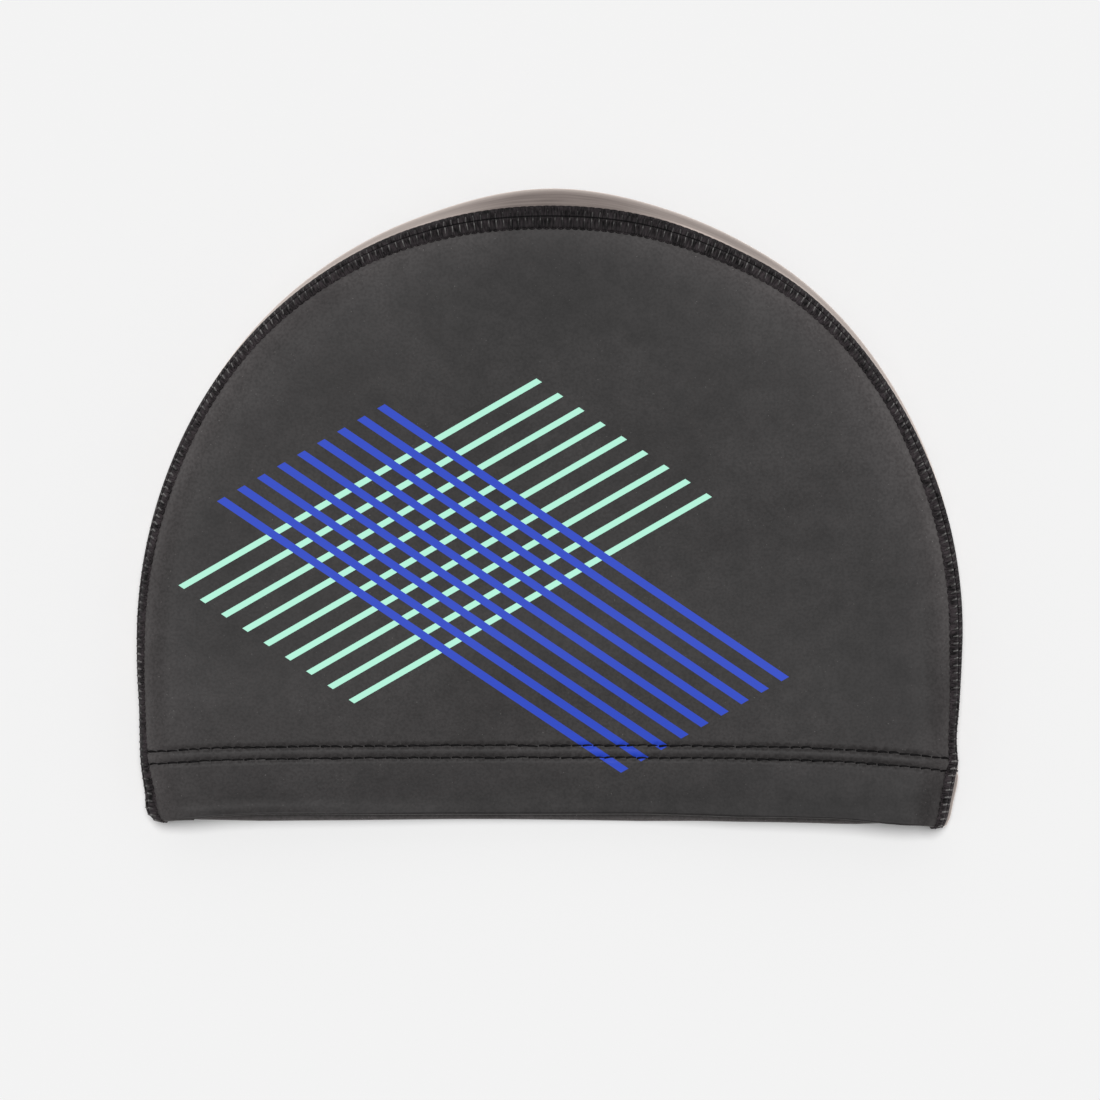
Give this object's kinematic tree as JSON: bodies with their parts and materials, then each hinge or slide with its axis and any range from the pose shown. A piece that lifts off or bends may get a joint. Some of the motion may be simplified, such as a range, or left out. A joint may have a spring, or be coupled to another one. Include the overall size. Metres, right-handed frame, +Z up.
{
  "type": "swim cap",
  "caption": "fabric swim cap of side panels and a centre strip in flatlock seams, lying flat on its side with a turned-up hem round the open head end",
  "frame": {"origin": "on the floor under the middle of the lying cap's length and width", "axes": "+X to the right of the printed panel as seen from above, +Y from the head opening to the crown, +Z up through the printed panel"},
  "size_m": [0.2238, 0.1736, 0.022],
  "materials": {
    "coated_fabric": "matte charcoal knit with a thin rubbery coating",
    "satin_knit": "taupe satin knit",
    "seam_thread": "black textured polyester thread"
  },
  "bodies": {
    "root": {"printed_panel": "coated_fabric", "plain_panel": "coated_fabric", "centre_strip": "satin_knit", "printed_side_seam": "seam_thread", "plain_side_seam": "seam_thread"}
  },
  "joints": []
}
